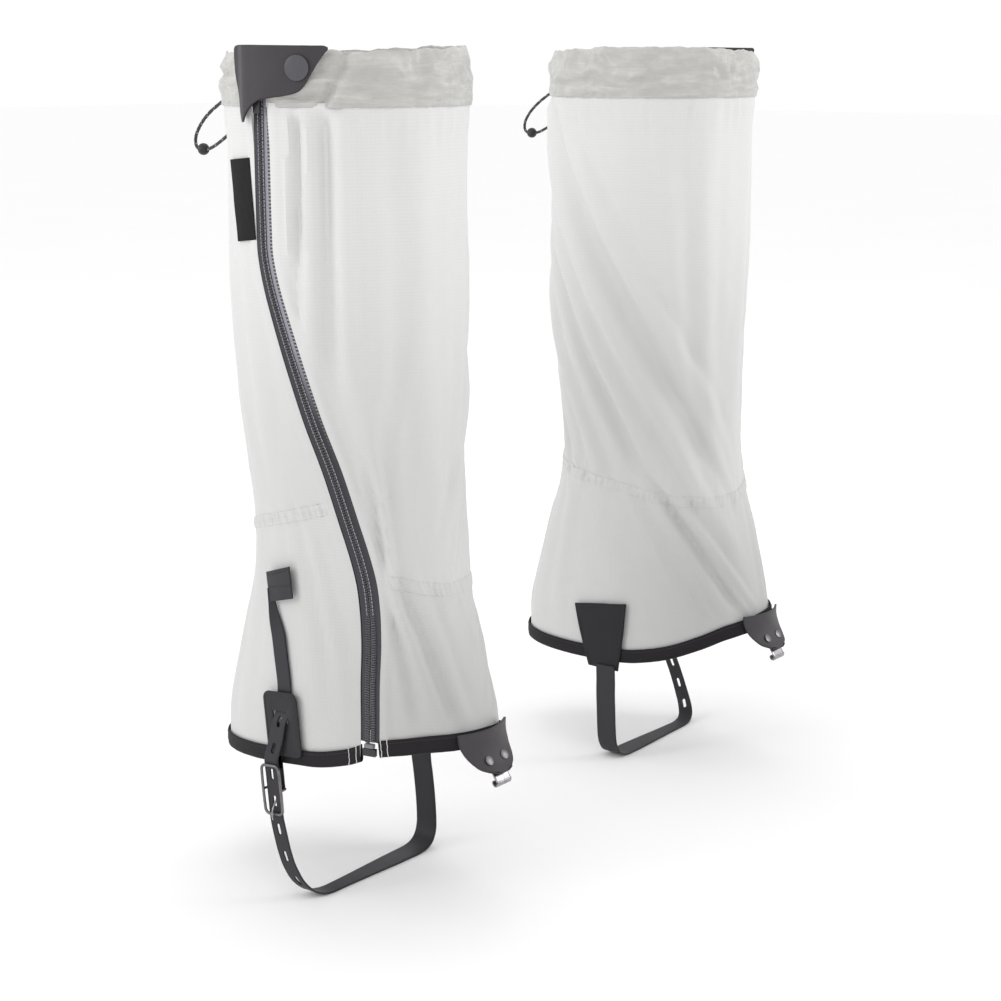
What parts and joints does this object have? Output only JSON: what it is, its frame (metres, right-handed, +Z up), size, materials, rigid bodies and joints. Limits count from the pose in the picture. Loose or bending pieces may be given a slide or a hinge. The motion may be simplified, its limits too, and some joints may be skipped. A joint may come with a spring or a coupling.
{
  "type": "gaiters",
  "caption": "Pair of knee-high fabric gaiters with side zip, snapped top flap, ankle elastic, toe tab with a lace hook, and buckled instep strap.",
  "frame": {"origin": "on the ground under the wearer, midway between the two leg axes, which stand 157 mm to each side", "axes": "+Z up, -Y towards the toes, -X towards the wearer's right foot"},
  "size_m": [0.4684, 0.2296, 0.5035],
  "materials": {
    "pale_fabric": "translucent ripstop, white-grey",
    "grey_fabric": "ripstop, pale grey",
    "channel_fabric": "gathered ripstop over a drawcord channel",
    "binding_tape": "folded woven tape",
    "zip_tape": "woven zip tape with nylon coil",
    "zip_plastic": "moulded",
    "leatherette": "fine-grained coated sheet",
    "snap_paint": "satin grey",
    "label_tape": "woven label",
    "strap_rubber": "smooth matt sheet",
    "steel": "drawn wire and pressed sheet",
    "cord_textile": "braided cord",
    "bead_plastic": "moulded ball"
  },
  "bodies": {
    "gaiters": {"right_upper_front_panel": "pale_fabric", "right_upper_rear_panel": "pale_fabric", "right_lower_front_panel": "grey_fabric", "right_lower_rear_panel": "grey_fabric", "right_top_channel": "channel_fabric", "right_ankle_elastic_front": "grey_fabric", "right_ankle_elastic_rear": "grey_fabric", "right_hem_binding": "binding_tape", "right_zip_stringer_front": "zip_tape", "right_zip_stringer_rear": "zip_tape", "right_zip_box": "zip_plastic", "right_snap_stud": "snap_paint", "right_side_label": "label_tape", "right_keeper_tab": "strap_rubber", "right_instep_strap": "strap_rubber", "right_anchor_patch": "strap_rubber", "right_buckle_frame": "steel", "right_medial_patch": "strap_rubber", "right_drawcord": "cord_textile", "right_cord_bead": "bead_plastic", "left_upper_front_panel": "pale_fabric", "left_upper_rear_panel": "pale_fabric", "left_lower_front_panel": "grey_fabric", "left_lower_rear_panel": "grey_fabric", "left_top_channel": "channel_fabric", "left_ankle_elastic_front": "grey_fabric", "left_ankle_elastic_rear": "grey_fabric", "left_hem_binding": "binding_tape", "left_zip_stringer_front": "zip_tape", "left_zip_stringer_rear": "zip_tape", "left_zip_box": "zip_plastic", "left_snap_stud": "snap_paint", "left_side_label": "label_tape", "left_keeper_tab": "strap_rubber", "left_instep_strap": "strap_rubber", "left_anchor_patch": "strap_rubber", "left_buckle_frame": "steel", "left_medial_patch": "strap_rubber", "left_drawcord": "cord_textile", "left_cord_bead": "bead_plastic"},
    "right_slider": {"right_zip_slider": "zip_plastic"},
    "right_pull": {"right_zip_pull": "zip_plastic"},
    "right_flap": {"right_top_flap": "leatherette", "right_snap_cap": "snap_paint", "right_snap_socket": "snap_paint"},
    "right_toe_tab": {"right_toe_tab": "leatherette", "right_lace_hook": "steel", "right_rivet_outer": "steel", "right_rivet_inner": "steel"},
    "right_prong": {"right_buckle_prong": "steel"},
    "left_slider": {"left_zip_slider": "zip_plastic"},
    "left_pull": {"left_zip_pull": "zip_plastic"},
    "left_flap": {"left_top_flap": "leatherette", "left_snap_cap": "snap_paint", "left_snap_socket": "snap_paint"},
    "left_toe_tab": {"left_toe_tab": "leatherette", "left_lace_hook": "steel", "left_rivet_outer": "steel", "left_rivet_inner": "steel"},
    "left_prong": {"left_buckle_prong": "steel"}
  },
  "joints": [
    {"name": "right_zip_slide", "type": "slide", "parent": "gaiters", "child": "right_slider", "axis": [0, 0, -1], "range_m": [0, 0.077]},
    {"name": "right_pull_hinge", "type": "hinge", "parent": "right_slider", "child": "right_pull", "pos_m": [-0.23045, 0, 0.4815], "axis": [0, 1, 0], "range_deg": [0, 9]},
    {"name": "right_flap_hinge", "type": "hinge", "parent": "gaiters", "child": "right_flap", "pos_m": [-0.2266, 0.01956, 0.49], "axis": [0, 0, -1], "range_deg": [0, 120]},
    {"name": "right_toe_tab_hinge", "type": "hinge", "parent": "gaiters", "child": "right_toe_tab", "pos_m": [-0.157, -0.1052, 0.1154], "axis": [-1, 0, 0], "range_deg": [0, 50]},
    {"name": "right_prong_hinge", "type": "hinge", "parent": "gaiters", "child": "right_prong", "pos_m": [-0.2114, 0.0165, 0.0655], "axis": [0, 0.9945, -0.1045], "range_deg": [0, 12]},
    {"name": "left_zip_slide", "type": "slide", "parent": "gaiters", "child": "left_slider", "axis": [0, 0, -1], "range_m": [0, 0.077]},
    {"name": "left_pull_hinge", "type": "hinge", "parent": "left_slider", "child": "left_pull", "pos_m": [0.23045, 0, 0.4815], "axis": [0, -1, 0], "range_deg": [0, 9]},
    {"name": "left_flap_hinge", "type": "hinge", "parent": "gaiters", "child": "left_flap", "pos_m": [0.2266, 0.01956, 0.49], "axis": [0, 0, 1], "range_deg": [0, 120]},
    {"name": "left_toe_tab_hinge", "type": "hinge", "parent": "gaiters", "child": "left_toe_tab", "pos_m": [0.157, -0.1052, 0.1154], "axis": [-1, 0, 0], "range_deg": [0, 50]},
    {"name": "left_prong_hinge", "type": "hinge", "parent": "gaiters", "child": "left_prong", "pos_m": [0.2114, 0.0165, 0.0655], "axis": [0, -0.9945, 0.1045], "range_deg": [0, 12]}
  ]
}
